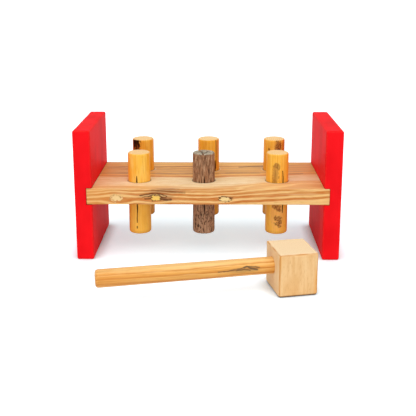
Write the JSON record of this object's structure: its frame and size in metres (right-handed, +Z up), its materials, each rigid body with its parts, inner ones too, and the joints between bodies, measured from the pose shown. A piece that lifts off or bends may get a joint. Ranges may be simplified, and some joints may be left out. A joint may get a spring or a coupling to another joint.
{
  "type": "peg pounding bench",
  "caption": "Wooden pounding bench: a plank between upright red end boards, with round pegs that slide through its holes, and a loose mallet.",
  "frame": {"origin": "middle of the whole set's footprint, on the surface that it stands on", "axes": "+X along the bench to its right end, +Y to the back, away from the mallet, +Z up"},
  "size_m": [0.29, 0.251, 0.145],
  "materials": {
    "end_board_paint": "satin red paint",
    "plank_pine": "oiled, striped grain",
    "peg_honey_wood": "satin, honey stain",
    "peg_weathered_wood": "matt, weathered",
    "dowel_beech": "matt",
    "mallet_head_beech": "satin",
    "mallet_handle_pine": "satin"
  },
  "bodies": {
    "bench": {"left_end_board": "end_board_paint", "right_end_board": "end_board_paint", "bench_plank": "plank_pine", "left_end_dowels": "dowel_beech", "right_end_dowels": "dowel_beech"},
    "peg_front_left": {"peg_front_left": "peg_honey_wood"},
    "peg_front_centre": {"peg_front_centre": "peg_weathered_wood"},
    "peg_front_right": {"peg_front_right": "peg_honey_wood"},
    "peg_rear_left": {"peg_rear_left": "peg_honey_wood"},
    "peg_rear_centre": {"peg_rear_centre": "peg_honey_wood"},
    "peg_rear_right": {"peg_rear_right": "peg_honey_wood"},
    "mallet": {"mallet_head": "mallet_head_beech", "mallet_handle": "mallet_handle_pine"}
  },
  "joints": [
    {"name": "peg_front_left_slide", "type": "slide", "parent": "bench", "child": "peg_front_left", "axis": [0, 0, 1], "range_m": [-0.021, 0.03]},
    {"name": "peg_front_centre_slide", "type": "slide", "parent": "bench", "child": "peg_front_centre", "axis": [0, 0, 1], "range_m": [-0.021, 0.03]},
    {"name": "peg_front_right_slide", "type": "slide", "parent": "bench", "child": "peg_front_right", "axis": [0, 0, 1], "range_m": [-0.021, 0.03]},
    {"name": "peg_rear_left_slide", "type": "slide", "parent": "bench", "child": "peg_rear_left", "axis": [0, 0, 1], "range_m": [-0.026, 0.025]},
    {"name": "peg_rear_centre_slide", "type": "slide", "parent": "bench", "child": "peg_rear_centre", "axis": [0, 0, 1], "range_m": [-0.026, 0.025]},
    {"name": "peg_rear_right_slide", "type": "slide", "parent": "bench", "child": "peg_rear_right", "axis": [0, 0, 1], "range_m": [-0.026, 0.025]},
    {"name": "mallet_lift", "type": "slide", "parent": "bench", "child": "mallet", "axis": [0, 0, 1], "range_m": [0, 0.15]}
  ]
}
